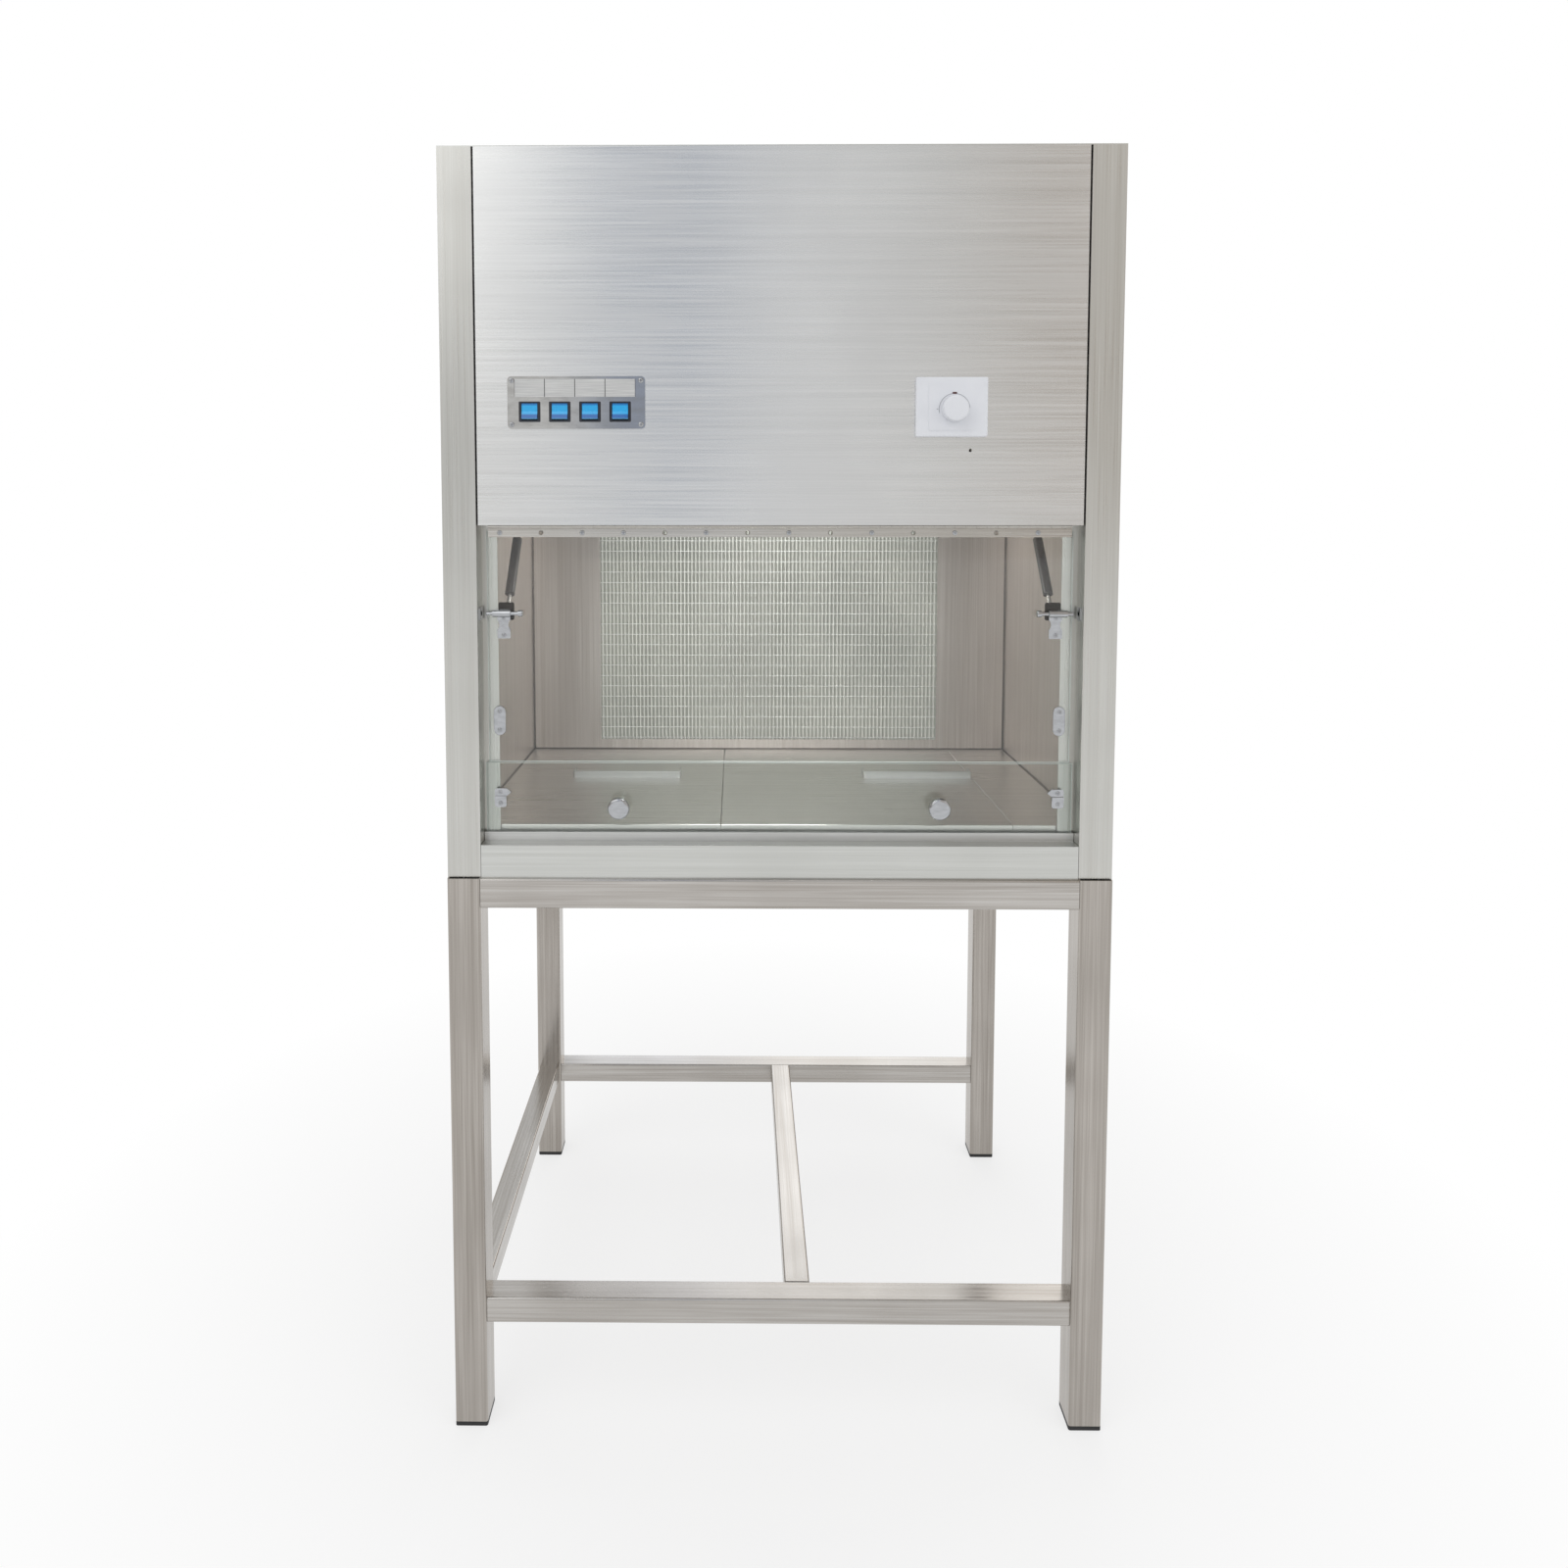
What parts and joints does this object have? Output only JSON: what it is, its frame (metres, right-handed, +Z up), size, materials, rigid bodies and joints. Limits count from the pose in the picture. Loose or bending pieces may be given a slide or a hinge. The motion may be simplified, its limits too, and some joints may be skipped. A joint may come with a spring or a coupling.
{
  "type": "laminar flow hood",
  "caption": "Stainless horizontal laminar flow cabinet with a hinged glass sash, pleated filter wall and blower, on a square-tube stand.",
  "frame": {"origin": "on the floor under the middle of the part", "axes": "+Z up, front towards -Y, X across"},
  "size_m": [1, 0.782, 1.95],
  "materials": {
    "stand_steel": "satin stainless square tube",
    "foot_plastic": "moulded black nylon",
    "brushed_sheet": "stainless sheet, brushed along its length",
    "inner_sheet": "stainless sheet, fine brushed",
    "channel_aluminium": "mill finish aluminium section",
    "filter_media": "pleated glass fibre paper",
    "filter_separator": "hot-melt separator beads",
    "gasket_rubber": "black closed-cell seal",
    "white_enamel": "white enamelled steel",
    "lamp_glass": "white coated lamp tube with aluminium caps",
    "uv_glass": "clear quartz lamp tube",
    "galvanised": "galvanised sheet steel",
    "motor_black": "black enamelled motor",
    "prefilter_card": "white synthetic mat in a card frame",
    "gland_nylon": "black nylon gland",
    "polished_plate": "mirror polished stainless",
    "switch_black": "black moulded switch body",
    "rocker_blue": "translucent blue rocker",
    "dial_white": "white moulded plastic",
    "hinge_steel": "rolled stainless hinge strip",
    "clear_glass": "clear float glass, polished edges",
    "chromed": "chromed fittings",
    "stay_black": "black enamelled stay",
    "stay_bright": "bright drawn rod"
  },
  "bodies": {
    "cabinet": {"front_legs": "stand_steel", "rear_legs": "stand_steel", "top_rails": "stand_steel", "stretchers": "stand_steel", "foot_caps": "foot_plastic", "side_panel_left": "brushed_sheet", "side_panel_right": "brushed_sheet", "upper_front_panel": "brushed_sheet", "top_cover": "brushed_sheet", "rear_panel": "brushed_sheet", "front_sill": "brushed_sheet", "inner_wall_left": "inner_sheet", "inner_wall_right": "inner_sheet", "base_pan": "inner_sheet", "bulkhead": "inner_sheet", "ceiling_panel": "inner_sheet", "worktop_left": "inner_sheet", "worktop_middle": "inner_sheet", "worktop_right": "inner_sheet", "worktop_handles": "inner_sheet", "glass_channel": "channel_aluminium", "hepa_frame": "channel_aluminium", "hepa_media": "filter_media", "hepa_separators": "filter_separator", "hepa_gasket": "gasket_rubber", "light_batten": "white_enamel", "fluorescent_lamp": "lamp_glass", "uv_lamp": "uv_glass", "blower_housing": "galvanised", "blower_motor": "motor_black", "prefilter": "prefilter_card", "cable_gland": "gland_nylon", "switch_plate": "polished_plate", "switch_bodies": "switch_black", "dial_plate": "dial_white", "hinge_fixed_leaf": "hinge_steel", "hinge_pin": "hinge_steel", "lower_glass": "clear_glass", "pull_knobs": "chromed", "lower_clips": "chromed", "bolt_keepers": "chromed", "stay_wall_brackets": "stay_black"},
    "sash": {"sash_glass": "clear_glass", "hinge_moving_leaf": "hinge_steel", "bolt_barrels": "chromed", "catch_plates": "chromed", "stay_sash_brackets": "stay_black"},
    "stay_rod_left_body": {"stay_rod_left": "stay_bright"},
    "stay_rod_right_body": {"stay_rod_right": "stay_bright"},
    "stay_cylinder_left_body": {"stay_cylinder_left": "stay_black"},
    "stay_cylinder_right_body": {"stay_cylinder_right": "stay_black"},
    "bolt_left": {"bolt_pin_left": "chromed"},
    "bolt_right": {"bolt_pin_right": "chromed"},
    "rocker_1_body": {"rocker_1": "rocker_blue"},
    "rocker_2_body": {"rocker_2": "rocker_blue"},
    "rocker_3_body": {"rocker_3": "rocker_blue"},
    "rocker_4_body": {"rocker_4": "rocker_blue"},
    "dial": {"dial_knob": "dial_white"},
    "fan_wheel": {"impeller": "galvanised"}
  },
  "joints": [
    {"name": "sash_hinge", "type": "hinge", "parent": "cabinet", "child": "sash", "pos_m": [0, -0.3434, 1.3976], "axis": [-1, 0, 0], "range_deg": [0, 85]},
    {"name": "stay_pivot_left", "type": "hinge", "parent": "sash", "child": "stay_rod_left_body", "pos_m": [-0.413, -0.3274, 1.2696], "axis": [1, 0, 0], "range_deg": [0, 35]},
    {"name": "stay_slide_left", "type": "slide", "parent": "stay_rod_left_body", "child": "stay_cylinder_left_body", "axis": [0, 0.5932, 0.8051], "range_m": [0, 0.086]},
    {"name": "stay_pivot_right", "type": "hinge", "parent": "sash", "child": "stay_rod_right_body", "pos_m": [0.413, -0.3274, 1.2696], "axis": [1, 0, 0], "range_deg": [0, 35]},
    {"name": "stay_slide_right", "type": "slide", "parent": "stay_rod_right_body", "child": "stay_cylinder_right_body", "axis": [0, 0.5932, 0.8051], "range_m": [0, 0.086]},
    {"name": "bolt_slide_left", "type": "slide", "parent": "sash", "child": "bolt_left", "axis": [-1, 0, 0], "range_m": [0, 0.011]},
    {"name": "bolt_slide_right", "type": "slide", "parent": "sash", "child": "bolt_right", "axis": [1, 0, 0], "range_m": [0, 0.011]},
    {"name": "rocker_1_tilt", "type": "hinge", "parent": "cabinet", "child": "rocker_1_body", "pos_m": [-0.3681, -0.366, 1.5665], "axis": [1, 0, 0], "range_deg": [0, 18]},
    {"name": "rocker_2_tilt", "type": "hinge", "parent": "cabinet", "child": "rocker_2_body", "pos_m": [-0.3237, -0.366, 1.5665], "axis": [1, 0, 0], "range_deg": [0, 18]},
    {"name": "rocker_3_tilt", "type": "hinge", "parent": "cabinet", "child": "rocker_3_body", "pos_m": [-0.2793, -0.366, 1.5665], "axis": [1, 0, 0], "range_deg": [0, 18]},
    {"name": "rocker_4_tilt", "type": "hinge", "parent": "cabinet", "child": "rocker_4_body", "pos_m": [-0.2349, -0.366, 1.5665], "axis": [1, 0, 0], "range_deg": [0, 18]},
    {"name": "dial_turn", "type": "hinge", "parent": "cabinet", "child": "dial", "pos_m": [0.2535, -0.383, 1.5695], "axis": [0, 1, 0], "range_deg": [0, 270]},
    {"name": "fan_spin", "type": "hinge", "parent": "cabinet", "child": "fan_wheel", "pos_m": [-0.15, 0.181, 1.7365], "axis": [1, 0, 0], "continuous": true}
  ],
  "couplings": [
    {"joint": "stay_pivot_left", "follows": "sash_hinge", "ratio": 0.408},
    {"joint": "stay_slide_left", "follows": "sash_hinge", "m_per_rad": 0.0572},
    {"joint": "stay_pivot_right", "follows": "sash_hinge", "ratio": 0.408},
    {"joint": "stay_slide_right", "follows": "sash_hinge", "m_per_rad": 0.0572}
  ]
}
